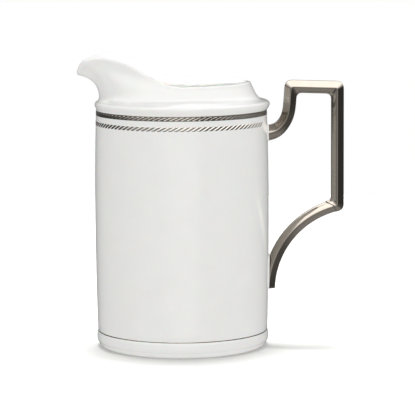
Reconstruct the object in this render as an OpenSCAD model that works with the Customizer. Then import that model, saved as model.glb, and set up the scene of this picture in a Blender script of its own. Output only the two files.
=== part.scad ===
// Tall china cream jug: a straight-sided cast vessel with an upswept pouring lip,
// a luted angular handle under a fired platinum film, two platinum bands below the
// shoulder and one platinum line above the foot.
// Frame: origin at the middle of the foot ring on the table, +Z up, pouring lip to -X,
// handle to +X. The jug is mirror-symmetric about the XZ plane.

/* [Body] */
// Outer radius of the wall at its fullest height
wall_r = 38.1; // [34:0.1:42]
// Height at which the wall is fullest
wall_full_z = 62; // [50:1:75]
// How far the wall draws in at its top and bottom
wall_draw = 0.75; // [0:0.05:1.5]
// Thickness of the cast wall
wall_t = 2.6; // [2:0.1:4]
// Height of the inner floor above the table
floor_z = 5.6; // [4.5:0.1:8]

/* [Foot] */
// Radius of the rounded foot bead
foot_bead_r = 37.8; // [36:0.1:40]
// Height of the foot bead, where the platinum line sits
foot_bead_z = 7; // [5:0.5:9]
// Middle radius of the unglazed ring that the jug stands on
foot_ring_r = 34.2; // [32:0.1:35]
// Width of the unglazed ring
foot_ring_w = 2; // [1.5:0.1:3]
// Depth of the hollow under the jug
foot_hollow = 2.4; // [1:0.1:3]

/* [Shoulder] */
// Radius of the shoulder's rounded edge
shoulder_r = 38.4; // [37.6:0.1:40]
// Height of the shoulder's edge
shoulder_z = 106.7; // [104:0.1:112]
// Rise of the cushion from its edge to the neck
shoulder_rise = 4.4; // [2:0.1:7]

/* [Neck and pouring lip] */
// Thickness of the neck wall and of the rounded rim
rim_t = 2.2; // [1.8:0.1:3]
// Height at which the neck leaves the shoulder
neck_z = 110.6; // [109:0.1:112]

/* [Handle] */
// Distance of the grip's middle line from the jug's axis
grip_x = 68.3; // [64:0.1:74]
// Height of the top bar's middle line
bar_z = 114; // [112:0.1:117]
// Distance of the front member's middle line from the axis
front_x = 48; // [46:0.1:52]
// Width of the handle seen from the side
handle_w = 5.6; // [4.5:0.1:7]
// Depth of the handle across its side ridges
handle_d = 6.8; // [5:0.1:9]
// Width of the narrow flats on the handle's inner and outer edges
handle_flat = 2.6; // [1.5:0.1:4]
// Radius of the lower sweep's middle line
sweep_r = 38.9; // [34:0.1:44]
// Width of the lower sweep seen from the side
sweep_w = 5.4; // [4.5:0.1:6.5]
// Height of the lower sweep's centre
sweep_z = 24; // [18:1:30]
// Height at which the handle's tail ends on the wall
tail_z = 25.2; // [22:0.1:30]

/* [Platinum] */
// Thickness that stands for the fired film
film_t = 0.12; // [0.1:0.01:0.2]
// Height of the upper band's lower edge
upper_band_z = 102.1; // [98:0.1:103]
// Height of the upper band
upper_band_h = 2.3; // [1.5:0.1:3]
// Height of the lower band's lower edge
lower_band_z = 98; // [94:0.1:99]
// Height of the lower band
lower_band_h = 2; // [1.5:0.1:3]
// Angle left free of the lower band on each side of the handle
lower_band_gap = 21; // [15:1:30]
// Height of the foot line
foot_line_h = 0.5; // [0.4:0.1:1.2]

/* [Handle joints] */
// Reach of the slip fillet round each root
slip_w = 0.7; // [0.4:0.1:1.2]

/* [Hidden] */
fine = 128;                  // fragments of the round forms
china = "#f4f4f2";
platinum = "#8a8580";
slip = "#fbfbfa";

wall_low_z = foot_bead_z + foot_line_h;
wall_top_z = shoulder_z - 2.2;
wall_inner_r = wall_r - wall_draw - wall_t;
shoulder_t = 2.6;            // thickness of the shoulder's crown

// ---- small helpers ----
function ease(u) = u <= 0 ? 0 : u >= 1 ? 1 : u * u * (3 - 2 * u);
function mix(a, b, u) = a * (1 - u) + b * u;
function unit(v) = v / norm(v);

// Outer radius of the wall at a height: fullest at wall_full_z, drawn in at both ends
function wall_at(z) =
    let (reach = z < wall_full_z ? wall_full_z - wall_low_z : wall_top_z - wall_full_z)
    wall_r - wall_draw * pow((z - wall_full_z) / reach, 2);

// Height of the shoulder's crown at a radius: rises steeply at the edge, then levels off
function crown_at(r) =
    let (u = (shoulder_r - r) / shoulder_r)
    shoulder_z + shoulder_rise * pow(min(1, u * 2.4), 0.62);

// One closed smooth curve through keys, at a step count between each pair of keys
function between(a, b, c, d, u) =
    0.5 * ((2 * b) + (c - a) * u + (2 * a - 5 * b + 4 * c - d) * u * u
           + (3 * b - a - 3 * c + d) * u * u * u);
function closed_curve(keys, steps) =
    let (n = len(keys))
    [for (i = [0:n - 1]) for (s = [0:steps - 1])
        between(keys[(i + n - 1) % n], keys[i], keys[(i + 1) % n], keys[(i + 2) % n], s / steps)];

// A half outline from lip to handle side, closed by its own mirror image
function mirrored(half) =
    concat(half, [for (i = [len(half) - 2:-1:1]) [half[i].x, -half[i].y, half[i].z]]);

// ---- outlines of the body of revolution ----
wall_steps = 12;
wall_line = [for (i = [0:wall_steps])
    let (z = mix(wall_low_z, wall_top_z, i / wall_steps)) [wall_at(z), z]];

// Foot: contact ring, lower ring, bead and the line's seat
bead_mid_z = (foot_bead_z + 2.5) / 2;
bead_half = (foot_bead_z - 2.5) / 2;
foot_line_r = wall_at(wall_low_z) - 0.1;
foot_outline = concat(
    [[foot_ring_r - foot_ring_w / 2, 0], [foot_ring_r + foot_ring_w / 2, 0],
     [foot_ring_r + foot_ring_w, 0.45], [foot_bead_r - 0.95, 1.3], [foot_bead_r - 0.85, 2.3]],
    [for (a = [-80:20:80])
        [foot_bead_r - 0.75 + 0.75 * cos(a), bead_mid_z + bead_half * sin(a)]],
    [[foot_line_r, foot_bead_z], [foot_line_r, wall_low_z]]);

// Shoulder: undercut below the edge, rounded edge and crown
shoulder_outline = concat(
    [[shoulder_r - 0.7, wall_top_z + 0.7], [shoulder_r - 0.15, shoulder_z - 0.7],
     [shoulder_r, shoulder_z]],
    [for (r = [shoulder_r - 0.5, shoulder_r - 1.5, shoulder_r - 3, 32, 28, 24, 18, 0])
        [r, crown_at(r)]]);

module solid_of_revolution() {
    rotate_extrude($fn = fine)
        polygon(concat([[0, foot_hollow]], [[foot_ring_r - foot_ring_w, foot_hollow]],
                       foot_outline, wall_line, shoulder_outline));
}

// The hollow inside: flat floor with a rounded corner, upright wall, domed under the crown
module cavity() {
    corner = 5;
    rotate_extrude($fn = fine)
        polygon(concat([[0, floor_z]],
            [for (a = [0:15:90]) [wall_inner_r - corner + corner * sin(a),
                                  floor_z + corner - corner * cos(a)]],
            [[wall_inner_r + wall_draw, wall_full_z], [wall_inner_r, wall_top_z - 2],
             [wall_inner_r - 1.5, crown_at(34) - shoulder_t - 1]],
            [for (r = [31, 28, 24, 0]) [r, crown_at(r) - shoulder_t]]));
}

// ---- neck and pouring lip ----
// Where the neck stands on the shoulder, from the lip side to the handle side
neck_keys = mirrored([[-36.1, 0, 0], [-34.1, 7.6, 0], [-29.4, 14.6, 0], [-22.6, 20.4, 0],
    [-14.5, 24.6, 0], [-6, 26.7, 0], [3.5, 26.6, 0], [15, 23.4, 0], [26.4, 14.8, 0], [32.4, 0, 0]]);
// Outer edge of the rim at the same stations
rim_keys = mirrored([[-44.8, 0, 119.5], [-42.9, 6, 123.4], [-36.4, 9.8, 126.6], [-27, 14, 125.2],
    [-17.6, 19.4, 121.6], [-8.6, 23.4, 116.9], [2, 24.2, 115.1], [14, 21.2, 115.2],
    [24.6, 13.2, 115.4], [30, 0, 115.8]]);
curve_steps = 4;
neck_line = closed_curve(neck_keys, curve_steps);
rim_line = closed_curve(rim_keys, curve_steps);
rounds = len(neck_line);

// How strongly a station belongs to the pouring lip: 1 at its tip, 0 past the neck's middle
function lip_share(p) = ease((-8 - p.x) / 30);
// Level direction pointing out of the rim at station i
function outward(i) =
    let (a = rim_line[(i + rounds - 1) % rounds], b = rim_line[(i + 1) % rounds])
    unit([-(b.y - a.y), b.x - a.x, 0]) * (cross([a.x, a.y], [b.x, b.y]) > 0 ? -1 : 1);
// Direction in which the wall runs into the rim: nearly level at the tip, upright behind
function run_in(i) =
    let (s = lip_share(rim_line[i]), tip = ease((-38 - rim_line[i].x) / 7))
    unit(outward(i) * mix(-0.3, mix(0.5, 1, tip), s) + [0, 0, mix(1, mix(0.9, 0.18, tip), s)]);
// Outer face of the neck: a cubic from the shoulder to the rim
function neck_face(i, v) =
    let (p0 = [neck_line[i].x, neck_line[i].y, neck_z],
         p3 = rim_line[i],
         rise = p3.z - neck_z,
         p1 = p0 + [0, 0, rise * mix(0.35, 0.52, lip_share(p3))],
         p2 = p3 - run_in(i) * mix(rise * 0.35, 5.2, lip_share(p3)))
    p0 * pow(1 - v, 3) + p1 * 3 * v * pow(1 - v, 2) + p2 * 3 * v * v * (1 - v) + p3 * pow(v, 3);

face_steps = 6;
neck_sink = 1.7;             // how deep the neck's foot stands in the shoulder
outer_face = [for (j = [0:face_steps]) [for (i = [0:rounds - 1]) neck_face(i, j / face_steps)]];
// Outward normal of the neck's face at row j, station i
function face_normal(j, i) =
    let (j0 = max(0, j - 1), j1 = min(face_steps, j + 1),
         along = outer_face[j][(i + 1) % rounds] - outer_face[j][(i + rounds - 1) % rounds],
         up = outer_face[j1][i] - outer_face[j0][i])
    unit(cross(up, along));
function inner_point(j, i) = outer_face[j][i] - rim_t * face_normal(j, i);
// Half-round rim from the outer to the inner face, at an angle
function rim_point(i, a) =
    let (n = face_normal(face_steps, i), t = run_in(i))
    outer_face[face_steps][i] - n * rim_t / 2 + (n * cos(a) + t * sin(a)) * rim_t / 2;

// Rings of the neck shell in order: up the outer face, over the rim, down the inner face
neck_rings = concat(
    [[for (p = outer_face[0]) [p.x, p.y, neck_z - neck_sink]]],
    outer_face,
    [for (a = [30:30:150]) [for (i = [0:rounds - 1]) rim_point(i, a)]],
    [for (j = [face_steps:-1:0]) [for (i = [0:rounds - 1]) inner_point(j, i)]],
    [[for (i = [0:rounds - 1]) let (p = inner_point(0, i)) [p.x, p.y, neck_z - neck_sink]]]);

// Closed shell of rings whose last ring joins the first
module ring_shell(rings) {
    n = len(rings);
    m = len(rings[0]);
    polyhedron(
        points = [for (ring = rings) for (p = ring) p],
        faces = [for (j = [0:n - 1]) for (i = [0:m - 1])
            let (a = j * m + i, b = j * m + (i + 1) % m,
                 c = ((j + 1) % n) * m + (i + 1) % m, d = ((j + 1) % n) * m + i)
            each [[a, b, c], [a, c, d]]],
        convexity = 10);
}

// Plug that opens the crown inside the neck wall's outer face
module mouth_plug() {
    translate([0, 0, neck_z - 8])
        linear_extrude(height = 12)
            polygon([for (i = [0:rounds - 1])
                let (j = (i + 1) % rounds, n = face_normal(0, i) + face_normal(0, j),
                     p = (outer_face[0][i] + outer_face[0][j] - n * rim_t * 0.4) / 2)
                [p.x, p.y]]);
}

// ---- handle ----
sweep_x = grip_x + 8.7;      // centre of the lower sweep
grip_low_z = sweep_z + sqrt(pow(sweep_r, 2) - pow(sweep_x - grip_x, 2));
grip_angle = 180 - acos((sweep_x - grip_x) / sweep_r);
sweep_end = 186;             // just past the tail's end
sweep_steps = 24;
root_swell = 1.24;           // how much fuller the upper root is than the bar

// Middle line of the handle: root, front member, top bar, grip, lower sweep
upper_path = [[36, 93.6], [39.5, 94.2], [42.2, 95.4], [44.3, 97.4], [45.9, 100], [46.9, 103],
    [47.4, 106.5], [front_x, bar_z + 0.2], [grip_x, bar_z - 0.4], [grip_x, grip_low_z]];
handle_path = concat(upper_path,
    [for (k = [1:sweep_steps])
        let (a = mix(grip_angle, sweep_end, k / sweep_steps))
        [sweep_x + sweep_r * cos(a), sweep_z + sweep_r * sin(a)]]);
path_n = len(handle_path);
// Half width along the path
function half_w(k) =
    k >= len(upper_path) ? sweep_w / 2
        : handle_w / 2 * (k < 2 ? root_swell : k < 5 ? 1.06 : 1);
function step_dir(k) = unit(handle_path[k + 1] - handle_path[k]);
// In-plane side vector at each point, stretched at a mitre to keep the width
function side_at(k) =
    let (d0 = step_dir(max(0, k - 1)), d1 = step_dir(min(path_n - 2, k)),
         m = unit(d0 + d1), side = [-m.y, m.x])
    side / max(0.5, m * d0);
// Six-sided section: narrow flats on the inner and outer edges, a ridge on each side
function section(w, extra = 0) =
    let (flat = handle_flat / 2 + extra * 0.6, ridge = handle_d / 2 + extra, e = w + extra)
    [[e, flat], [0, ridge], [-e, flat], [-e, -flat], [0, -ridge], [e, -flat]];
function handle_ring(k) =
    let (c = handle_path[k], s = side_at(k))
    [for (q = section(half_w(k))) [c.x + s.x * q.x, q.y, c.y + s.y * q.x]];

// The whole bar from root to tail, mitred at the corners
module handle_bar() {
    rings = [for (k = [0:path_n - 1]) handle_ring(k)];
    m = len(rings[0]);
    polyhedron(
        points = [for (ring = rings) for (p = ring) p],
        faces = concat(
            [[for (i = [m - 1:-1:0]) i]],
            [for (k = [0:path_n - 2]) for (i = [0:m - 1])
                let (a = k * m + i, b = k * m + (i + 1) % m)
                each [[a, b, b + m], [a, b + m, a + m]]],
            [[for (i = [0:m - 1]) (path_n - 1) * m + i]]),
        convexity = 10);
}

// The end of the lower sweep that lies on the wall, grown all round by extra
module tail(extra = 0) {
    tail_start = 150;
    translate([sweep_x, 0, sweep_z])
        rotate([90, 0, 0])
            rotate([0, 0, tail_start])
                rotate_extrude(angle = sweep_end - tail_start, $fn = fine)
                    translate([sweep_r, 0]) polygon(section(sweep_w / 2, extra));
}

// The straight root where the handle enters the wall, grown all round by extra
module upper_root(extra = 0) {
    d = step_dir(0);
    translate([handle_path[0].x, 0, handle_path[0].y])
        rotate([0, -atan2(d.y, d.x), 0])
            rotate([90, 0, 90])
                linear_extrude(height = norm(handle_path[1] - handle_path[0]))
                    polygon([for (q = section(half_w(0), extra)) [q.y, q.x]]);
}

// Plain column with the wall's own curve, which the roots and bands are fitted to
module wall_column(extra = 0) {
    rotate_extrude($fn = fine)
        polygon(concat([[0, wall_low_z]],
                       [for (p = wall_line) [p.x + extra, p.y]], [[0, wall_top_z]]));
}

// ---- sub-parts ----
module vessel() {
    color(china) {
        difference() {
            solid_of_revolution();
            cavity();
            mouth_plug();
        }
        ring_shell(neck_rings);
    }
}

module handle() {
    color(platinum)
        difference() {
            handle_bar();
            wall_column();
            translate([0, -10, 0]) cube([60, 20, tail_z]);
        }
}

// A ring of film on the wall between two heights, left open round the handle
module film_ring(z, h, gap = 0) {
    rotate([0, 0, gap])
        rotate_extrude(angle = 360 - 2 * gap, $fn = fine)
            polygon([[wall_at(z), z], [wall_at(z) + film_t, z],
                     [wall_at(z + h) + film_t, z + h], [wall_at(z + h), z + h]]);
}

module upper_band() { color(platinum) film_ring(upper_band_z, upper_band_h); }

module lower_band() { color(platinum) film_ring(lower_band_z, lower_band_h, lower_band_gap); }

module foot_line() {
    color(platinum)
        rotate_extrude($fn = fine)
            translate([foot_line_r, foot_bead_z]) square([film_t, foot_line_h]);
}

// Slip fillets: low collars round the roots, fitted to the wall and the handle
module upper_handle_joint() {
    color(slip)
        difference() {
            intersection() {
                upper_root(slip_w);
                wall_column(slip_w);
            }
            wall_column();
            upper_root();
        }
}

module lower_handle_joint() {
    color(slip)
        difference() {
            intersection() {
                tail(slip_w);
                wall_column(slip_w);
            }
            wall_column();
            tail();
            translate([0, -10, 0]) cube([60, 20, tail_z]);
        }
}

vessel();
handle();
upper_band();
lower_band();
foot_line();
upper_handle_joint();
lower_handle_joint();
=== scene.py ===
import math

import bmesh
import bpy
import numpy as np
from mathutils import Matrix, Vector


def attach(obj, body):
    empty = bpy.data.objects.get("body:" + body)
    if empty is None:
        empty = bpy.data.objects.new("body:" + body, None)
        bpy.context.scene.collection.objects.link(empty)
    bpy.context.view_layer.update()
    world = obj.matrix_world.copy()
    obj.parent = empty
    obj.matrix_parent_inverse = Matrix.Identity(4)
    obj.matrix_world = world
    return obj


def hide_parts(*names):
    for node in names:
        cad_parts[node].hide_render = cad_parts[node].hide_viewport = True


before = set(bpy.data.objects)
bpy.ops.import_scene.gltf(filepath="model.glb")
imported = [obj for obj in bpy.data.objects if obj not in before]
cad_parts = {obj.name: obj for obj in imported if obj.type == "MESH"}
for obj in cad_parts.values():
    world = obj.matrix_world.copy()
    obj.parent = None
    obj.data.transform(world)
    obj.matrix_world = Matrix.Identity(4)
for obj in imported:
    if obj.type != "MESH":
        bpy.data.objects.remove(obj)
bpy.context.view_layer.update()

mm = 0.001

# a long lens from well back, looking slightly down
cameraPlan = {
    "place": (11.2, -1121.0, 201.6),    # mm
    "aim": (11.2, 0.0, 60.95),          # mm
    "roll": -0.3,                       # degrees
    "lens": 222.74, "sensor": 36,       # mm
    "clip": (0.05, 20),                 # nearest and farthest distance drawn, m
}


def makeCamera(plan):
    place, aim = Vector(plan["place"]) * mm, Vector(plan["aim"]) * mm
    forward = (aim - place).normalized()
    level = forward.cross(Vector((0, 0, 1))).normalized()
    top = level.cross(forward)
    roll = math.radians(plan["roll"])
    right = level * math.cos(roll) + top * math.sin(roll)
    data = bpy.data.cameras.new("studioCamera")
    data.lens, data.sensor_width = plan["lens"], plan["sensor"]
    data.clip_start, data.clip_end = plan["clip"]
    camera = bpy.data.objects.new("studioCamera", data)
    bpy.context.scene.collection.objects.link(camera)
    turn = Matrix((right, right.cross(forward), -forward)).transposed()
    camera.matrix_world = Matrix.Translation(place) @ turn.to_4x4()
    bpy.context.scene.camera = camera


makeCamera(cameraPlan)
print("camera set")


def ease(u):
    u = np.clip(u, 0.0, 1.0)
    return u * u * (3 - 2 * u)


def mix(a, b, u):
    return a * (1 - u) + b * u


def unit(v):
    return v / np.linalg.norm(v, axis=-1, keepdims=True)


def linearColour(code):
    # an sRGB hex value to linear RGBA
    parts = [int(code[i:i + 2], 16) / 255 for i in (1, 3, 5)]
    return [p / 12.92 if p <= 0.04045 else ((p + 0.055) / 1.055) ** 2.4 for p in parts] + [1.0]


def addNode(tree, kind, settings=None, inputs=None, links=None):
    # one node with its settings, its own values and what it is fed by
    node = tree.nodes.new(kind)
    for key, value in (settings or {}).items():
        setattr(node, key, value)
    for key, value in (inputs or {}).items():
        node.inputs[key].default_value = value
    for key, source in (links or {}).items():
        tree.links.new(source, node.inputs[key])
    return node


def meshPiece(name, points, faces, material):
    # points in mm; a closed shell gets its faces turned outwards
    mesh = bpy.data.meshes.new(name)
    mesh.from_pydata([tuple(float(c) * mm for c in p) for p in points], [], faces)
    work = bmesh.new()
    work.from_mesh(mesh)
    bmesh.ops.recalc_face_normals(work, faces=work.faces)
    if work.calc_volume(signed=True) < 0:
        bmesh.ops.reverse_faces(work, faces=work.faces)
    work.to_mesh(mesh)
    work.free()
    mesh.shade_smooth()
    mesh.materials.append(material)
    piece = bpy.data.objects.new(name, mesh)
    bpy.context.scene.collection.objects.link(piece)
    return piece


def ringFaces(ringCount, around, joined=False):
    # quads between neighbouring rings; joined closes the last ring onto the first
    faces = []
    for j in range(ringCount if joined else ringCount - 1):
        low, high = j * around, (j + 1) % ringCount * around
        for i in range(around):
            k = (i + 1) % around
            faces.append((low + i, low + k, high + k, high + i))
    return faces


def standFor(piece, node):
    # the jug is one body, so every piece rides on root
    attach(piece, "root")
    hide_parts(node)


def newMaterial(name):
    material = bpy.data.materials.new(name)
    material.use_nodes = True
    tree = material.node_tree
    tree.nodes.clear()
    out = addNode(tree, "ShaderNodeOutputMaterial")
    shader = addNode(tree, "ShaderNodeBsdfPrincipled")
    tree.links.new(shader.outputs["BSDF"], out.inputs["Surface"])
    coordinates = addNode(tree, "ShaderNodeTexCoord").outputs["Object"]
    return material, tree, shader, coordinates


glazePlan = {
    "china": "#f3f3f1", "chinaShade": "#eeeeeb", "biscuit": "#e9e5dc",
    "glazeRoughness": 0.09, "biscuitRoughness": 0.62,
    "unevenMm": 9.0,                # distance between the glaze's soft swellings
    "gritMm": 0.35,                 # grain of the bare china
    "biscuitRing": (33.3, 35.3),    # radii in mm of the wiped foot ring
    "biscuitFade": 0.15,            # mm over which glaze gives way to bare china
    "biscuitTop": (0.5, 0.25),      # heights in mm between which the bare ring begins
    "depthWeight": 0.12, "depthMm": 1.2,      # light that goes into the china, and how deep
}


def boneChinaGlaze(plan):
    # Slip-cast bone china under a clear dipped glaze: white with a soft depth, mirror-smooth
    # with slow swellings; the ring it stood on in the kiln is wiped bare, dry and creamy.
    material, tree, shader, where = newMaterial("boneChinaGlaze")
    cloud = addNode(tree, "ShaderNodeTexNoise", inputs={
        "Scale": 1 / (plan["unevenMm"] * mm), "Detail": 2.0, "Roughness": 0.45},
        links={"Vector": where})
    tint = addNode(tree, "ShaderNodeMix", {"data_type": "RGBA"}, {
        6: linearColour(plan["china"]), 7: linearColour(plan["chinaShade"])},
        {0: cloud.outputs["Fac"]})
    apart = addNode(tree, "ShaderNodeSeparateXYZ", links={"Vector": where})
    flat = addNode(tree, "ShaderNodeCombineXYZ", links={
        "X": apart.outputs["X"], "Y": apart.outputs["Y"]})
    radius = addNode(tree, "ShaderNodeVectorMath", {"operation": "LENGTH"},
                     links={0: flat.outputs["Vector"]})
    inner, outer = (r * mm for r in plan["biscuitRing"])
    fade = plan["biscuitFade"] * mm
    inside = addNode(tree, "ShaderNodeMapRange", inputs={
        "From Min": inner - fade, "From Max": inner + fade}, links={"Value": radius.outputs["Value"]})
    beyond = addNode(tree, "ShaderNodeMapRange", inputs={
        "From Min": outer + fade, "From Max": outer - fade}, links={"Value": radius.outputs["Value"]})
    ringTop, ringFull = (z * mm for z in plan["biscuitTop"])
    low = addNode(tree, "ShaderNodeMapRange", inputs={
        "From Min": ringTop, "From Max": ringFull}, links={"Value": apart.outputs["Z"]})
    ring = addNode(tree, "ShaderNodeMath", {"operation": "MULTIPLY"}, links={
        0: inside.outputs["Result"], 1: beyond.outputs["Result"]})
    bare = addNode(tree, "ShaderNodeMath", {"operation": "MULTIPLY"}, links={
        0: ring.outputs["Value"], 1: low.outputs["Result"]})
    grit = addNode(tree, "ShaderNodeTexNoise", inputs={"Scale": 1 / (plan["gritMm"] * mm), "Detail": 3.0},
                   links={"Vector": where})
    colour = addNode(tree, "ShaderNodeMix", {"data_type": "RGBA"}, {
        7: linearColour(plan["biscuit"])}, {0: bare.outputs["Value"], 6: tint.outputs[2]})
    gloss = addNode(tree, "ShaderNodeMapRange", inputs={
        "To Min": plan["glazeRoughness"], "To Max": plan["biscuitRoughness"]},
        links={"Value": bare.outputs["Value"]})
    swell = addNode(tree, "ShaderNodeBump", inputs={"Strength": 0.05, "Distance": 0.4 * mm},
                    links={"Height": cloud.outputs["Fac"]})
    tooth = addNode(tree, "ShaderNodeBump", inputs={"Distance": 0.05 * mm}, links={
        "Strength": bare.outputs["Value"], "Height": grit.outputs["Fac"],
        "Normal": swell.outputs["Normal"]})
    tree.links.new(colour.outputs[2], shader.inputs["Base Color"])
    tree.links.new(gloss.outputs["Result"], shader.inputs["Roughness"])
    tree.links.new(tooth.outputs["Normal"], shader.inputs["Normal"])
    shader.inputs["IOR"].default_value = 1.5
    shader.inputs["Subsurface Weight"].default_value = plan["depthWeight"]
    shader.inputs["Subsurface Scale"].default_value = plan["depthMm"] * mm
    return material


slipPlan = {"pale": "#fafaf8", "deep": "#f1f1ee", "rippleMm": 1.6, "relief": 0.25, "roughness": 0.07}


def slipGlaze(plan):
    # Casting slip sponged into the handle's joints under the same clear glaze: a thick,
    # wet-looking white with small pooled ripples.
    material, tree, shader, where = newMaterial("slipGlaze")
    pool = addNode(tree, "ShaderNodeTexNoise", inputs={
        "Scale": 1 / (plan["rippleMm"] * mm), "Detail": 2.0}, links={"Vector": where})
    tint = addNode(tree, "ShaderNodeMix", {"data_type": "RGBA"}, {
        6: linearColour(plan["pale"]), 7: linearColour(plan["deep"])}, {0: pool.outputs["Fac"]})
    ripple = addNode(tree, "ShaderNodeBump", inputs={"Strength": plan["relief"], "Distance": 0.1 * mm},
                     links={"Height": pool.outputs["Fac"]})
    tree.links.new(tint.outputs[2], shader.inputs["Base Color"])
    tree.links.new(ripple.outputs["Normal"], shader.inputs["Normal"])
    shader.inputs["Roughness"].default_value = plan["roughness"]
    return material


# tone where the film is thick and thin, roughness where smooth and dull, brush cloud in mm, relief
platinumPlan = {
    "firedPlatinumHandle": ("#9d968d", "#928a81", 0.06, 0.13, 5.0, 0.12),
    "firedPlatinumRope": ("#bdb7af", "#aea89f", 0.1, 0.18, 1.5, 0.04),
    "burntPlatinumGround": ("#75706a", "#6b6660", 0.1, 0.18, 1.0, 0.04),
}


def firedPlatinum(name, plan):
    # Liquid bright platinum painted over the glaze and fired at low heat: a thin warm-grey
    # mirror that keeps faint brush-laid clouds in its tone and gloss. The ground under the
    # rope strokes is a thinner, burnt film, so it is darker.
    thick, thin, smooth, dull, brushMm, relief = plan[name]
    material, tree, shader, where = newMaterial(name)
    brush = addNode(tree, "ShaderNodeTexNoise", inputs={
        "Scale": 1 / (brushMm * mm), "Detail": 4.0, "Roughness": 0.55}, links={"Vector": where})
    tint = addNode(tree, "ShaderNodeMix", {"data_type": "RGBA"}, {
        6: linearColour(thick), 7: linearColour(thin)}, {0: brush.outputs["Fac"]})
    gloss = addNode(tree, "ShaderNodeMapRange", inputs={
        "From Min": 0.3, "From Max": 0.7, "To Min": smooth, "To Max": dull},
        links={"Value": brush.outputs["Fac"]})
    bump = addNode(tree, "ShaderNodeBump", inputs={"Strength": relief, "Distance": 0.1 * mm},
                   links={"Height": brush.outputs["Fac"]})
    tree.links.new(tint.outputs[2], shader.inputs["Base Color"])
    tree.links.new(gloss.outputs["Result"], shader.inputs["Roughness"])
    tree.links.new(bump.outputs["Normal"], shader.inputs["Normal"])
    shader.inputs["Metallic"].default_value = 1.0
    return material


china = boneChinaGlaze(glazePlan)
slip = slipGlaze(slipPlan)
handlePlatinum, ropePlatinum, groundPlatinum = (
    firedPlatinum(name, platinumPlan) for name in platinumPlan)
print("finishes made")

# vessel: foot, wall, cushion shoulder, neck and pouring lip in one skin, sizes in mm
vesselPlan = {
    "wallRadius": 38.1, "wallFullZ": 62.0, "wallDraw": 0.75, "wallLowZ": 7.5, "wallTopZ": 104.5,
    "innerRadius": 34.75, "floorZ": 5.6, "floorCorner": 5.0,
    "beadMiddle": (37.05, 4.75), "beadHalf": (0.75, 2.25),
    "edgeRadius": 38.35, "edgeLean": 0.35,      # the shoulder's edge is prouder by the handle
    "neckZ": 110.6, "rimThickness": 2.2, "stationsPerKey": 12,
}
# half outlines from the pouring lip round to the handle side, mm
neckKeys = [(-36.1, 0, 0), (-34.1, 7.6, 0), (-29.4, 14.6, 0), (-22.6, 20.4, 0), (-14.5, 24.6, 0),
            (-6, 26.7, 0), (3.5, 26.6, 0), (15, 23.4, 0), (26.4, 14.8, 0), (32.4, 0, 0)]
rimKeys = [(-44.65, 0, 119.5), (-42.8, 6, 123.4), (-36.4, 9.8, 126.3), (-27, 14, 125.2),
           (-17.6, 19.4, 121.6), (-8.6, 23.4, 116.9), (2, 24.2, 115.1), (14, 21.2, 115.2),
           (24.9, 13.3, 115.4), (30.5, 0, 115.8)]


def wallAt(z, plan=vesselPlan):
    reach = plan["wallFullZ"] - plan["wallLowZ"] if z < plan["wallFullZ"] \
        else plan["wallTopZ"] - plan["wallFullZ"]
    return plan["wallRadius"] - plan["wallDraw"] * ((z - plan["wallFullZ"]) / reach) ** 2


def closedSpline(halfKeys, steps):
    # smooth closed curve through the keys and their mirror images
    keys = np.array(list(halfKeys) + [(x, -y, z) for x, y, z in halfKeys[-2:0:-1]], float)
    n = len(keys)
    ahead, behind = np.roll(keys, -1, 0), np.roll(keys, 1, 0)
    system = 4 * np.eye(n) + np.roll(np.eye(n), 1, 1) + np.roll(np.eye(n), -1, 1)
    bend = np.linalg.solve(system, 6 * (ahead - 2 * keys + behind))
    nextBend = np.roll(bend, -1, 0)
    rows = []
    for s in range(steps):
        u = s / steps
        w = 1 - u
        rows.append(w * keys + u * ahead + ((w ** 3 - w) * bend + (u ** 3 - u) * nextBend) / 6)
    return np.stack(rows, 1).reshape(-1, 3)


def crownHeight(inset):
    # height of the cushion shoulder at a distance inwards from its edge
    return np.interp(inset, [0, 0.06, 0.25, 0.55, 1.0, 1.8, 3.3, 6.1, 9, 12, 38],
                     [106.8, 107.25, 107.6, 107.88, 108.1, 108.32, 108.7, 109.5, 110.1, 110.5, 111])


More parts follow.
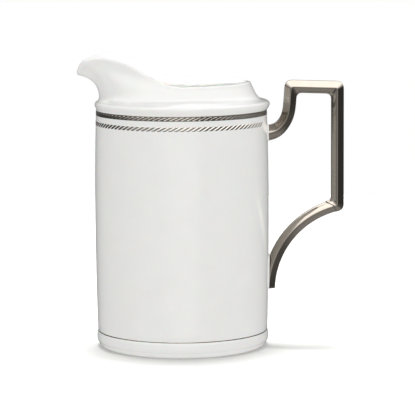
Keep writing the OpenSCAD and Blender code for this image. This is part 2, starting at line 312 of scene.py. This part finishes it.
def makeVessel(plan):
    neck = closedSpline(neckKeys, plan["stationsPerKey"])
    rim = closedSpline(rimKeys, plan["stationsPerKey"])
    around = len(neck)
    angle = np.arctan2(neck[:, 1], neck[:, 0])
    outFlat = np.stack([np.cos(angle), np.sin(angle), 0 * angle], 1)
    neckRadius = np.hypot(neck[:, 0], neck[:, 1])
    foot = neck.copy()
    foot[:, 2] = plan["neckZ"]
    upright = np.array([0.0, 0.0, 1.0])

    def level(r, z):
        row = outFlat * np.reshape(r, (-1, 1))
        row[:, 2] = z
        return row

    # neck face: a cubic from the shoulder to the rim at each station
    share = ease((-8 - rim[:, 0]) / 30)[:, None]
    tip = ease((-38 - rim[:, 0]) / 7)[:, None]
    along = np.roll(rim, -1, 0) - np.roll(rim, 1, 0)
    outward = unit(np.stack([-along[:, 1], along[:, 0], 0 * along[:, 0]], 1))
    outward *= np.sign(np.sum(outward * outFlat, 1))[:, None]
    runIn = unit(outward * mix(-0.3, mix(0.5, 1, tip), share)
                 + upright * mix(1, mix(0.9, 0.18, tip), share))
    rise = (rim[:, 2:] - plan["neckZ"])
    p1 = foot + upright * rise * mix(0.35, 0.52, share)
    p2 = rim - runIn * mix(rise * 0.35, 5.2, share)

    def neckFace(v):
        v = np.reshape(v, (-1, 1))
        return foot * (1 - v) ** 3 + p1 * 3 * v * (1 - v) ** 2 + p2 * 3 * v * v * (1 - v) + rim * v ** 3

    def normalAt(v):
        low, high = np.maximum(v - 0.03, 0), np.minimum(v + 0.03, 1)
        row = neckFace(v)
        normal = unit(np.cross(neckFace(high) - neckFace(low),
                               np.roll(row, -1, 0) - np.roll(row, 1, 0)))
        return normal * np.sign(np.sum(normal * outFlat, 1))[:, None]

    rows = []
    # underside and foot
    for r, z in [(8, 2.55), (16, 2.5), (24, 2.45), (30, 2.4), (31.4, 2.38), (32.0, 2.25), (32.5, 1.85),
                 (32.85, 1.2), (33.1, 0.5), (33.3, 0.15), (33.6, 0.0), (34.3, 0.0), (34.9, 0.0),
                 (35.3, 0.1), (35.8, 0.32), (36.25, 0.65), (36.6, 1.05), (36.82, 1.5), (36.9, 1.95),
                 (36.9, 2.25), (36.95, 2.4)]:
        rows.append(level(r, z))
    for a in range(-78, 79, 12):
        rows.append(level(plan["beadMiddle"][0] + plan["beadHalf"][0] * math.cos(math.radians(a)),
                          plan["beadMiddle"][1] + plan["beadHalf"][1] * math.sin(math.radians(a))))
    rows.append(level(wallAt(7.5) - 0.1, 7.0))
    rows.append(level(wallAt(7.5) - 0.1, 7.4))
    # wall
    for z in np.linspace(plan["wallLowZ"] + 0.1, plan["wallTopZ"], 34):
        rows.append(level(wallAt(z), z))
    # undercut, rounded edge and crown of the shoulder
    edge = plan["edgeRadius"] + plan["edgeLean"] * np.cos(angle)
    for inset, z in [(0.78, 104.9), (0.6, 105.25), (0.4, 105.6), (0.22, 105.95), (0.08, 106.35),
                     (0, 106.8)]:
        rows.append(level(edge - inset, z))
    room = edge - neckRadius
    reach = room - np.minimum(3.4, 0.6 * room)       # where the fillet to the neck begins
    for f in (0.02, 0.05, 0.09, 0.15, 0.22, 0.3, 0.4, 0.52, 0.65, 0.8, 1.0):
        inset = reach * f
        rows.append(level(edge - inset, crownHeight(inset)))
    start = rows[-1]
    slope = (crownHeight(reach + 0.3) - crownHeight(reach - 0.3)) / 0.6
    leave = unit(-outFlat + upright * slope[:, None])
    landing = mix(0.42, 0.16, share[:, 0])
    end = neckFace(landing)
    arrive = unit(neckFace(landing + 0.02) - neckFace(landing - 0.02))
    span = np.linalg.norm(end - start, axis=1, keepdims=True) * 1.15
    for t in (0.14, 0.28, 0.42, 0.56, 0.7, 0.85):
        rows.append(start * (2 * t ** 3 - 3 * t * t + 1) + leave * span * (t ** 3 - 2 * t * t + t)
                    + end * (3 * t * t - 2 * t ** 3) + arrive * span * (t ** 3 - t * t))
    # neck, half-round rim and the neck's inner face
    steps = np.linspace(0, 1, 10)
    for f in steps:
        rows.append(neckFace(mix(landing, 1.0, f)))
    half = plan["rimThickness"] / 2
    normal = normalAt(np.ones(around))
    for a in range(18, 163, 18):
        c, s = math.cos(math.radians(a)), math.sin(math.radians(a))
        rows.append(rim - normal * half + (normal * c + runIn * s) * half)
    for f in steps[::-1]:
        v = np.full(around, 0.04 + 0.96 * f)
        rows.append(neckFace(v) - normalAt(v) * plan["rimThickness"])
    # domed roof inside, inner wall and floor
    mouth = rows[-1]
    mouthRadius = np.hypot(mouth[:, 0], mouth[:, 1])
    wallIn = plan["innerRadius"] + 0.15
    for t in (0.1, 0.2, 0.32, 0.45, 0.58, 0.7, 0.82, 0.92, 1.0):
        a, b, c, d = (1 - t) ** 3, 3 * t * (1 - t) ** 2, 3 * t * t * (1 - t), t ** 3
        rows.append(level(mouthRadius * (a + b) + wallIn * (c + d),
                          mouth[:, 2] * a + 107.2 * b + 107.6 * c + 100.5 * d))
        rows[-1][:, :2] += (mouth - level(mouthRadius, 0))[:, :2] * (a + b)
    for z in np.linspace(96, plan["floorZ"] + plan["floorCorner"], 16):
        rows.append(level(plan["innerRadius"] + 0.75 * (1 - ((z - 62) / 55) ** 2), z))
    corner = plan["floorCorner"]
    turnIn = plan["innerRadius"] + 0.75 * (1 - ((corner + plan["floorZ"] - 62) / 55) ** 2)
    for a in range(75, -1, -15):
        rows.append(level(turnIn - corner + corner * math.sin(math.radians(a)),
                          plan["floorZ"] + corner - corner * math.cos(math.radians(a))))
    for r in (22, 14, 6):
        rows.append(level(r, plan["floorZ"]))
    points = np.concatenate(rows)
    faces = ringFaces(len(rows), around)
    total = len(points)
    points = np.concatenate([points, [(0, 0, 2.55), (0, 0, plan["floorZ"])]])
    last = total - around
    faces += [(total, (i + 1) % around, i) for i in range(around)]
    faces += [(total + 1, last + i, last + (i + 1) % around) for i in range(around)]
    return meshPiece("jugVessel", points, faces, china)


vessel = makeVessel(vesselPlan)
standFor(vessel, "vessel")
print("vessel made:", len(vessel.data.polygons), "faces")

# handle: softened six-sided bar, mitred at its three corners, points as (x, z) in mm
handlePlan = {
    "root": [(36, 93.6), (39.5, 94.2), (42.2, 95.4), (44.3, 97.4), (45.9, 100), (46.9, 103),
             (47.4, 106.5)],
    "corners": [(48, 114.2), (68.3, 113.6), (68.3, 61.9)],
    "sweepCentre": (77.0, 24.0), "sweepRadius": 38.9, "tailZ": 25.2,
    "halfWidth": 2.8, "rootSwell": 1.24, "sweepHalfWidth": 2.7, "ridgeHalf": 3.4,
    # half of the section in mm: outer flat, flat outer facet, ridge, rounder inner side
    "outerFacet": [(2.8, 0.0), (2.8, 0.9), (2.77, 1.18), (2.66, 1.42), (2.48, 1.6), (2.2, 1.85),
                   (1.35, 2.54), (0.5, 3.14), (0.28, 3.27)],
    "innerFacet": [(0.1, 3.35), (-0.1, 3.37), (-0.3, 3.29), (-0.55, 3.16), (-1.15, 2.82), (-1.65, 2.46),
                   (-2.05, 2.08), (-2.38, 1.66), (-2.62, 1.2), (-2.76, 0.65), (-2.8, 0.0)],
    "cornerSoft": (2.4, 1.0, 3.4),      # fillet along a corner's inner edge, ridge and outer edge
    "tailRound": [(0.0, 0.42), (0.12, 0.1), (0.42, 0.0)],      # inset and setback of the end rings
    "rootSteps": 22, "sweepSteps": 44,
}


def barSection(w, plan, inset=0.0):
    # (side, depth) points all round the softened six-sided section
    half = np.array(plan["outerFacet"] + plan["innerFacet"])
    shape = np.concatenate([half, half[-2:0:-1] * (1, -1)])
    shape = shape * (w / plan["halfWidth"], 1)
    return shape * (1 - inset / np.array([w, plan["ridgeHalf"]]))


def openSpline(keys, count):
    # smooth open curve through a few keys
    keys = np.array(keys, float)
    n = len(keys)
    system = np.eye(n)
    target = np.zeros_like(keys)
    for k in range(1, n - 1):
        system[k, k - 1:k + 2] = (1, 4, 1)
        target[k] = 6 * (keys[k + 1] - 2 * keys[k] + keys[k - 1])
    bend = np.linalg.solve(system, target)
    curve = []
    for t in np.linspace(0, n - 1, count):
        k = min(int(t), n - 2)
        u = t - k
        w = 1 - u
        curve.append(w * keys[k] + u * keys[k + 1]
                     + ((w ** 3 - w) * bend[k] + (u ** 3 - u) * bend[k + 1]) / 6)
    return curve


def handlePath(plan):
    # (point, half width, is a corner) from the upper root to the tail
    path = []
    rootCurve = openSpline(plan["root"], plan["rootSteps"])
    for k, p in enumerate(rootCurve):
        f = k / (len(rootCurve) - 1)
        path.append((p, plan["halfWidth"] * mix(plan["rootSwell"], 1.0, float(ease(f * 1.6))), False))
    for p in plan["corners"]:
        path.append((np.array(p, float), plan["halfWidth"], True))
    centre, radius = np.array(plan["sweepCentre"]), plan["sweepRadius"]
    first = math.pi - math.acos((centre[0] - plan["corners"][2][0]) / radius)
    last = math.pi - math.asin((plan["tailZ"] - centre[1]) / radius)
    for k in range(1, plan["sweepSteps"] + 1):
        a = mix(first, last, k / plan["sweepSteps"])
        spot = centre + radius * np.array([math.cos(a), math.sin(a)])
        path.append((spot, plan["sweepHalfWidth"], False))
    return path


def makeHandle(plan):
    path = handlePath(plan)
    points = [p for p, w, corner in path]
    rings = []
    for k, (p, w, corner) in enumerate(path):
        d0 = unit(points[k] - points[k - 1]) if k else unit(points[1] - points[0])
        d1 = unit(points[k + 1] - points[k]) if k < len(path) - 1 else d0
        middle = unit(d0 + d1)
        side = np.array([-middle[1], middle[0]]) / max(0.5, float(np.dot(middle, d0)))
        if not corner:
            for inset, back in [(0.0, 0.0)] if k < len(path) - 1 else plan["tailRound"]:
                section = barSection(w, plan, inset)
                spots = p - d0 * back + section[:, :1] * side
                rings.append(np.stack([spots[:, 0], section[:, 1], spots[:, 1]], 1))
            continue
        turn = math.tan(math.acos(float(np.dot(d0, d1))) / 2)
        section = barSection(w, plan)
        e = section[:, :1]
        cut = np.interp(e / w, (-1, 0, 1), plan["cornerSoft"]) * turn
        mitre = p + e * side
        start, end = mitre - d0 * cut, mitre + d1 * cut
        # the fillet's stations, with one more ring on the straight bar at either end
        for s in (-1, 0, 0.17, 0.33, 0.5, 0.67, 0.83, 1, 2):
            if s < 0:
                spots = start - d0 * 0.7
            elif s > 1:
                spots = end + d1 * 0.7
            else:
                spots = start * (1 - s) ** 2 + mitre * 2 * s * (1 - s) + end * s * s
            rings.append(np.stack([spots[:, 0], section[:, 1], spots[:, 1]], 1))
    around = len(rings[0])
    faces = ringFaces(len(rings), around)
    faces.append(tuple(range(around)))
    faces.append(tuple((len(rings) - 1) * around + i for i in range(around)))
    return meshPiece("angularHandle", np.concatenate(rings), faces, handlePlatinum)


handle = makeHandle(handlePlan)
standFor(handle, "handle")
print("handle made:", len(handle.data.polygons), "faces")


def onWall(y, z, sink=0.0):
    r = wallAt(z) - sink
    return np.array([math.sqrt(r * r - y * y), y, z])


def makeFillet(name, outline, rise, size):
    # a concave bead of slip along a closed outline of (y, z) on the wall; rise is the
    # direction that the bar leaves in
    count = len(outline)
    middle = np.mean([onWall(y, z) for y, z in outline], 0)
    rows = [[] for _ in range(8)]
    for k in range(count):
        here = onWall(*outline[k])
        along = onWall(*outline[(k + 1) % count]) - onWall(*outline[k - 1])
        normal = unit(np.array([here[0], here[1], 0]))
        away = unit(np.cross(along, normal))
        if np.dot(away, here - middle) < 0:
            away = -away
        rows[0].append(here - away * 0.35 - normal * 0.3)
        rows[1].append(here + away * size * 0.9 - normal * 0.3)
        for j, a in enumerate((0, 22, 45, 68, 90)):
            c, s = math.cos(math.radians(a)), math.sin(math.radians(a))
            rows[2 + j].append(here + away * size * (1 - s) + rise * size * (1 - c)
                               + normal * 0.02)
        rows[7].append(here - away * 0.35 + rise * size * 0.9)
    faces = ringFaces(8, count, joined=True)
    return meshPiece(name, np.concatenate([np.array(r) for r in rows]), faces, slip)


def upperOutline(plan):
    # where the root's section meets the wall
    section = barSection(plan["halfWidth"] * plan["rootSwell"], plan)
    a, b = (np.array(p, float) for p in plan["root"][:2])
    d = unit(b - a)
    side = np.array([-d[1], d[0]])
    outline = []
    for e, y in section:
        x, z = a + side * e
        for _ in range(6):
            step = (onWall(y, z)[0] - x) / d[0]
            x, z = x + d[0] * step, z + d[1] * step
        outline.append((y, z))
    return outline, np.array([d[0], 0, d[1]])


def lowerOutline(plan):
    # the long footprint of the tail on the wall, from its squared end up to the crotch
    low, high, wide, archRise = plan["tailZ"] + 0.1, 40.2, plan["ridgeHalf"] - 0.02, 3.2
    sideZ = np.linspace(low + 0.5, high - archRise, 14)
    right = [(wide, z) for z in sideZ]
    arch = [(wide * math.cos(a), high - archRise + archRise * math.sin(a))
            for a in np.linspace(0.2, math.pi - 0.2, 9)]
    left = [(-wide, z) for z in sideZ[::-1]]
    end = [(y, low) for y in np.linspace(-wide + 0.4, wide - 0.4, 6)]
    return right + arch + left + end


upperPoints, upperRise = upperOutline(handlePlan)
upperSlip = makeFillet("upperSlipFillet", upperPoints, upperRise, 0.65)
standFor(upperSlip, "upper_handle_joint")
lowerSlip = makeFillet("lowerSlipFillet", lowerOutline(handlePlan), np.array([1.0, 0, 0]), 0.55)
standFor(lowerSlip, "lower_handle_joint")
print("slip fillets made")


def makeRing(name, profile, material, around=256):
    # a closed ring from (radius, height) points in mm
    angles = np.linspace(0, 2 * math.pi, around, endpoint=False)
    rows = [np.stack([r * np.cos(angles), r * np.sin(angles), np.full(around, z)], 1)
            for r, z in profile]
    return meshPiece(name, np.concatenate(rows), ringFaces(len(rows), around, joined=True), material)


def filmProfile(low, high, proud, sunk=0.15, soft=0.05):
    # section of a film laid on the wall between two heights, with softened edges
    middle = (low + high) / 2
    return [(wallAt(low) - sunk, low), (wallAt(low) + proud * 0.4, low),
            (wallAt(low + soft) + proud, low + soft), (wallAt(middle) + proud, middle),
            (wallAt(high - soft) + proud, high - soft), (wallAt(high) + proud * 0.4, high),
            (wallAt(high) - sunk, high)]


bandPlan = {      # mm
    "upperLow": 102.3, "upperHigh": 104.5, "lineWidth": 0.5,
    "lowerLow": 98.0, "lowerHigh": 100.0, "gapDegrees": 21.0,
    "strokes": 95, "leanRun": 3.0, "strokeWidth": 1.9, "relief": 0.07, "sunkDepth": 0.08,
    "groundProud": 0.03, "lineProud": 0.07,
    "strokeClear": (0.05, 0.1),      # bare ground below and above the upper strokes
    "leanClear": 2.0,                # degrees that the first lower stroke starts past the gap
    "footLow": 7.0, "footHigh": 7.5, "footInset": 0.1,      # the foot line lies in a shallow groove
}
lineLow = bandPlan["upperHigh"] - bandPlan["lineWidth"]
ground = makeRing("upperBandGround", filmProfile(
    bandPlan["upperLow"], lineLow + bandPlan["lineWidth"] * 0.5, bandPlan["groundProud"]), groundPlatinum)
standFor(ground, "upper_band")
topLine = makeRing("upperBandLine", filmProfile(
    lineLow, bandPlan["upperHigh"], bandPlan["lineProud"]), ropePlatinum)
standFor(topLine, "upper_band")
seat = wallAt(bandPlan["footHigh"]) - bandPlan["footInset"]
footLow, footHigh = bandPlan["footLow"], bandPlan["footHigh"]
footLine = makeRing("footLine", [
    (seat - 0.15, footLow), (seat + 0.05, footLow), (seat + 0.11, footLow + 0.06),
    (seat + 0.12, (footLow + footHigh) / 2),
    (seat + 0.11, footHigh - 0.06), (seat + 0.05, footHigh), (seat - 0.15, footHigh)], ropePlatinum)
standFor(footLine, "foot_line")


def ropeTree():
    # leaning strokes laid side by side on a flat strip, then wrapped round the wall
    tree = bpy.data.node_groups.new("ropeStrokes", "GeometryNodeTree")
    face = tree.interface
    for name, kind in [("Stroke count", "NodeSocketInt"), ("Pitch", "NodeSocketFloat"),
                       ("Start angle", "NodeSocketFloat"), ("Wall radius", "NodeSocketFloat"),
                       ("Wall slope", "NodeSocketFloat"), ("Middle height", "NodeSocketFloat"),
                       ("Stroke height", "NodeSocketFloat"), ("Lean run", "NodeSocketFloat"),
                       ("Stroke width", "NodeSocketFloat"), ("Relief", "NodeSocketFloat"),
                       ("Sunk depth", "NodeSocketFloat"), ("Finish", "NodeSocketMaterial")]:
        face.new_socket(name, in_out="INPUT", socket_type=kind)
    face.new_socket("Geometry", in_out="OUTPUT", socket_type="NodeSocketGeometry")
    given = addNode(tree, "NodeGroupInput").outputs
    out = addNode(tree, "NodeGroupOutput")

    def maths(operation, a, b=None):
        node = addNode(tree, "ShaderNodeMath", {"operation": operation})
        for slot, value in ((0, a), (1, b)):
            if value is None:
                continue
            if isinstance(value, (int, float)):
                node.inputs[slot].default_value = value
            else:
                tree.links.new(value, node.inputs[slot])
        return node.outputs["Value"]

    blank = addNode(tree, "GeometryNodeMeshCube", inputs={
        "Size": (1, 1, 1), "Vertices X": 8, "Vertices Y": 2, "Vertices Z": 4})
    place = addNode(tree, "GeometryNodeInputPosition")
    part = addNode(tree, "ShaderNodeSeparateXYZ", links={"Vector": place.outputs["Position"]}).outputs
    # x runs up the stroke, z across it and y is its thickness
    ends = maths("POWER", maths("ABSOLUTE", maths("MULTIPLY", part["X"], 2.0)), 4.0)
    narrow = maths("SUBTRACT", 1.0, maths("MULTIPLY", ends, 0.3))
    swing = maths("MULTIPLY", maths("SINE", maths("MULTIPLY", part["X"], 2.0)), 0.5 / math.sin(1))
    across = maths("ADD", maths("MULTIPLY", swing, given["Lean run"]),
                   maths("MULTIPLY", maths("MULTIPLY", part["Z"], given["Stroke width"]), narrow))
    offMiddle = maths("ABSOLUTE", maths("MULTIPLY", part["Z"], 2.0))
    crownAcross = maths("SUBTRACT", 1.0, maths("MULTIPLY", maths("POWER", offMiddle, 2.0), 0.8))
    top = maths("MULTIPLY", given["Relief"], crownAcross)
    isTop = maths("GREATER_THAN", part["Y"], 0.0)
    depth = maths("SUBTRACT", maths("MULTIPLY", isTop, maths("ADD", top, given["Sunk depth"])),
                  given["Sunk depth"])
    shaped = addNode(tree, "ShaderNodeCombineXYZ", links={
        "X": across, "Y": depth, "Z": maths("MULTIPLY", part["X"], given["Stroke height"])})
    stroke = addNode(tree, "GeometryNodeSetPosition", links={
        "Geometry": blank.outputs["Mesh"], "Position": shaped.outputs["Vector"]})
    step = addNode(tree, "ShaderNodeCombineXYZ", links={"X": given["Pitch"]})
    spots = addNode(tree, "GeometryNodeMeshLine", links={
        "Count": given["Stroke count"], "Offset": step.outputs["Vector"]})
    laid = addNode(tree, "GeometryNodeInstanceOnPoints", links={
        "Points": spots.outputs["Mesh"], "Instance": stroke.outputs["Geometry"]})
    real = addNode(tree, "GeometryNodeRealizeInstances", links={"Geometry": laid.outputs["Instances"]})
    flatPlace = addNode(tree, "GeometryNodeInputPosition")
    strip = addNode(tree, "ShaderNodeSeparateXYZ", links={
        "Vector": flatPlace.outputs["Position"]}).outputs
    turn = maths("ADD", maths("DIVIDE", strip["X"], given["Wall radius"]), given["Start angle"])
    radius = maths("ADD", maths("ADD", given["Wall radius"], strip["Y"]),
                   maths("MULTIPLY", given["Wall slope"], strip["Z"]))
    wrapped = addNode(tree, "ShaderNodeCombineXYZ", links={
        "X": maths("MULTIPLY", radius, maths("COSINE", turn)),
        "Y": maths("MULTIPLY", radius, maths("SINE", turn)),
        "Z": maths("ADD", strip["Z"], given["Middle height"])})
    wrap = addNode(tree, "GeometryNodeSetPosition", links={
        "Geometry": real.outputs["Geometry"], "Position": wrapped.outputs["Vector"]})
    soft = addNode(tree, "GeometryNodeSetShadeSmooth", links={"Geometry": wrap.outputs["Geometry"]})
    finish = addNode(tree, "GeometryNodeSetMaterial", links={
        "Geometry": soft.outputs["Geometry"], "Material": given["Finish"]})
    tree.links.new(finish.outputs["Geometry"], out.inputs["Geometry"])
    return tree


rope = ropeTree()


def makeRope(name, low, high, count, startDegrees, sweepDegrees, plan):
    # one plain mesh of strokes between two heights, from an angle round through a sweep
    middle = (low + high) / 2
    radius = wallAt(middle)
    values = {
        "Stroke count": count, "Pitch": math.radians(sweepDegrees) * radius / count * mm,
        "Start angle": math.radians(startDegrees), "Wall radius": radius * mm,
        "Wall slope": (wallAt(high) - wallAt(low)) / (high - low), "Middle height": middle * mm,
        "Stroke height": (high - low) * mm, "Lean run": plan["leanRun"] * mm,
        "Stroke width": plan["strokeWidth"] * mm, "Relief": plan["relief"] * mm,
        "Sunk depth": plan["sunkDepth"] * mm, "Finish": ropePlatinum,
    }
    carrier = bpy.data.objects.new(name + "Carrier", bpy.data.meshes.new(name + "Carrier"))
    bpy.context.scene.collection.objects.link(carrier)
    modifier = carrier.modifiers.new("rope", "NODES")
    modifier.node_group = rope
    for item in rope.interface.items_tree:
        if item.in_out == "INPUT":
            modifier[item.identifier] = values[item.name]
    view = carrier.evaluated_get(bpy.context.evaluated_depsgraph_get())
    mesh = bpy.data.meshes.new_from_object(view)
    carrier.modifiers.remove(modifier)
    bpy.data.objects.remove(carrier)
    work = bmesh.new()
    work.from_mesh(mesh)
    if work.calc_volume(signed=True) < 0:
        bmesh.ops.reverse_faces(work, faces=work.faces)
    work.to_mesh(mesh)
    work.free()
    mesh.name = name
    piece = bpy.data.objects.new(name, mesh)
    bpy.context.scene.collection.objects.link(piece)
    return piece


gap = bandPlan["gapDegrees"]
lowerCount = round(bandPlan["strokes"] * (360 - 2 * gap) / 360)
clearLow, clearHigh = bandPlan["strokeClear"]
upperRope = makeRope("upperBandRope", bandPlan["upperLow"] + clearLow, lineLow - clearHigh,
                     bandPlan["strokes"], 0, 360, bandPlan)
standFor(upperRope, "upper_band")
lowerRope = makeRope("lowerBandRope", bandPlan["lowerLow"], bandPlan["lowerHigh"],
                     lowerCount, gap + bandPlan["leanClear"], 360 - 2 * gap, bandPlan)
standFor(lowerRope, "lower_band")
print("platinum bands made:", len(upperRope.data.polygons), len(lowerRope.data.polygons), "faces")

# stage and light, places and sizes in metres
stagePlan = {
    "table": (-0.55, -0.6, 0.55, 0.55), "tableCells": 11,
    "card": "#d6d6d4", "cardShade": "#d2d2d0", "toothMm": 1.1,
    "leftPower": 2.4, "leftPlace": (-1.1, -0.85, 0.4),
    "rightPower": 3.4, "rightPlace": (1.05, -0.95, 0.4), "sideSize": (0.8, 0.8),
    "sideAim": (0.0, 0.0, 0.06),
    "washPower": 3.9, "washPlace": (0.0, 0.13, 1.0), "washAngle": 20.0,
    "mouthPower": 0.009, "mouthPlace": (0.0, -0.016, 0.15), "mouthAim": (0.0, 0.024, 0.114),
    "mouthSize": (0.05, 0.01), "mouthSpread": 50.0,
    "skyLow": 0.87, "skyHigh": 0.72,      # soft light from below and from overhead
    # brightness of each part of the surround that shows in the mirror finishes
    "sideDark": 0.08, "frontGlow": 0.75, "leftGlow": 0.36, "backGlow": 0.05, "topGlow": 3.5,
    "underGlow": 0.5, "underDark": 0.18,
}


def floorMaterial(plan):
    # matt pale card: flat and even, its paper tooth drawn coarse enough to show up close
    material, tree, shader, where = newMaterial("mattPaleCard")
    grain = addNode(tree, "ShaderNodeTexNoise", inputs={
        "Scale": 1 / (plan["toothMm"] * mm), "Detail": 2.0}, links={"Vector": where})
    tint = addNode(tree, "ShaderNodeMix", {"data_type": "RGBA"}, {
        6: linearColour(plan["card"]), 7: linearColour(plan["cardShade"])}, {0: grain.outputs["Fac"]})
    tree.links.new(tint.outputs[2], shader.inputs["Base Color"])
    shader.inputs["Roughness"].default_value = 0.9
    shader.inputs["Specular IOR Level"].default_value = 0.1
    return material


def makeFloor(plan):
    # the table that the jug stands on; the surround's own lower half lights the jug from below
    # and shows in the mirror finishes in its place
    x0, y0, x1, y1 = plan["table"]
    cells = plan["tableCells"]
    row = cells + 1
    xs, ys = np.linspace(x0, x1, row), np.linspace(y0, y1, row)
    mesh = bpy.data.meshes.new("studioTable")
    mesh.from_pydata([(x, y, 0.0) for y in ys for x in xs], [], [
        (j * row + i, j * row + i + 1, (j + 1) * row + i + 1, (j + 1) * row + i)
        for j in range(cells) for i in range(cells)])
    mesh.materials.append(floorMaterial(plan))
    table = bpy.data.objects.new("studioTable", mesh)
    bpy.context.scene.collection.objects.link(table)
    table.visible_glossy = False
    table.visible_diffuse = False
    return table


def addLamp(name, place, aim, power, linked, size=None):
    # a soft rectangle of a size, or without one a distant lamp; linked says what it lights
    data = bpy.data.lights.new(name, "AREA" if size else "SUN")
    if size:
        data.shape, data.size, data.size_y = "RECTANGLE", size[0], size[1]
    data.energy = power
    lamp = bpy.data.objects.new(name, data)
    bpy.context.scene.collection.objects.link(lamp)
    lamp.location = place
    lamp.rotation_mode = "QUATERNION"
    lamp.rotation_quaternion = (Vector(aim) - Vector(place)).to_track_quat("-Z", "Y")
    lamp.visible_camera = False
    lamp.visible_glossy = False
    lamp.light_linking.receiver_collection = linked
    return lamp


def makeLight(plan, table):
    # the table has a wash of its own, so that its shadow and the jug's shading stay apart
    tableOnly = bpy.data.collections.new("tableOnly")
    tableOnly.objects.link(table)
    allButTable = bpy.data.collections.new("allButTable")
    allButTable.objects.link(table)
    allButTable.collection_objects[0].light_linking.link_state = "EXCLUDE"
    wash = addLamp("tableWash", plan["washPlace"], (0, 0, 0), plan["washPower"], tableOnly)
    wash.data.angle = math.radians(plan["washAngle"])
    addLamp("leftSoftbox", plan["leftPlace"], plan["sideAim"], plan["leftPower"], allButTable,
            plan["sideSize"])
    addLamp("rightSoftbox", plan["rightPlace"], plan["sideAim"], plan["rightPower"], allButTable,
            plan["sideSize"])
    # a strip over the mouth stands in for the light that thin china lets through
    mouth = addLamp("mouthStrip", plan["mouthPlace"], plan["mouthAim"], plan["mouthPower"],
                    allButTable, plan["mouthSize"])
    mouth.data.spread = math.radians(plan["mouthSpread"])
    world = bpy.data.worlds.new("studioSurround")
    bpy.context.scene.world = world
    world.use_nodes = True
    tree = world.node_tree
    tree.nodes.clear()
    out = addNode(tree, "ShaderNodeOutputWorld")
    ray = addNode(tree, "ShaderNodeLightPath").outputs
    heading = addNode(tree, "ShaderNodeTexCoord").outputs["Generated"]
    part = addNode(tree, "ShaderNodeSeparateXYZ", links={"Vector": heading}).outputs

    def ramp(source, low, high, start, end):
        node = addNode(tree, "ShaderNodeMapRange", {"interpolation_type": "SMOOTHSTEP"}, {
            "From Min": low, "From Max": high, "To Min": start, "To Max": end}, {"Value": source})
        return node.outputs["Result"]

    def add(a, b):
        node = addNode(tree, "ShaderNodeMath", {"operation": "ADD"}, links={0: a, 1: b})
        return node.outputs["Value"]

    def times(a, b):
        node = addNode(tree, "ShaderNodeMath", {"operation": "MULTIPLY"}, links={0: a, 1: b})
        return node.outputs["Value"]

    # What the mirror finishes see, by parts of the heading: dark sides, a glow in front and a
    # weaker one on the left, almost none behind, a bright ceiling, and a grey table below,
    # brightest straight down.
    overTable = ramp(part["Z"], -0.42, -0.3, 0.0, 1.0)
    front = times(ramp(part["Y"], -0.87, -0.96, 0.0, plan["frontGlow"]), overTable)
    left = times(times(ramp(part["X"], -0.3, -0.5, 0.0, plan["leftGlow"]),
                       ramp(part["Y"], 0.0, -0.5, 0.0, 1.0)), overTable)
    above = add(ramp(part["Z"], 0.1, 0.85, plan["sideDark"], plan["topGlow"]), left)
    below = ramp(part["Z"], -0.55, -0.85, plan["underDark"] - plan["sideDark"], plan["underGlow"])
    behind = ramp(part["Y"], 0.7, 0.92, 0.0, plan["backGlow"])
    seen = add(add(above, times(below, ramp(part["Z"], -0.1, -0.4, 0.0, 1.0))), add(behind, front))
    mirror = addNode(tree, "ShaderNodeBackground", {}, {"Color": (1, 1, 1, 1)}, {"Strength": seen})
    sky = ramp(part["Z"], -0.1, 0.9, plan["skyLow"], plan["skyHigh"])
    soft = addNode(tree, "ShaderNodeBackground", {}, {"Color": (1, 1, 1, 1)}, {"Strength": sky})
    white = addNode(tree, "ShaderNodeBackground", inputs={"Color": (1, 1, 1, 1), "Strength": 1.0})
    first = addNode(tree, "ShaderNodeMixShader", links={
        0: ray["Is Glossy Ray"], 1: soft.outputs["Background"], 2: mirror.outputs["Background"]})
    both = addNode(tree, "ShaderNodeMixShader", links={
        0: ray["Is Camera Ray"], 1: first.outputs["Shader"], 2: white.outputs["Background"]})
    tree.links.new(both.outputs["Shader"], out.inputs["Surface"])
    bpy.context.scene.view_settings.view_transform = "Standard"
    bpy.context.scene.view_settings.look = "None"


makeLight(stagePlan, makeFloor(stagePlan))
print("stage and light set")
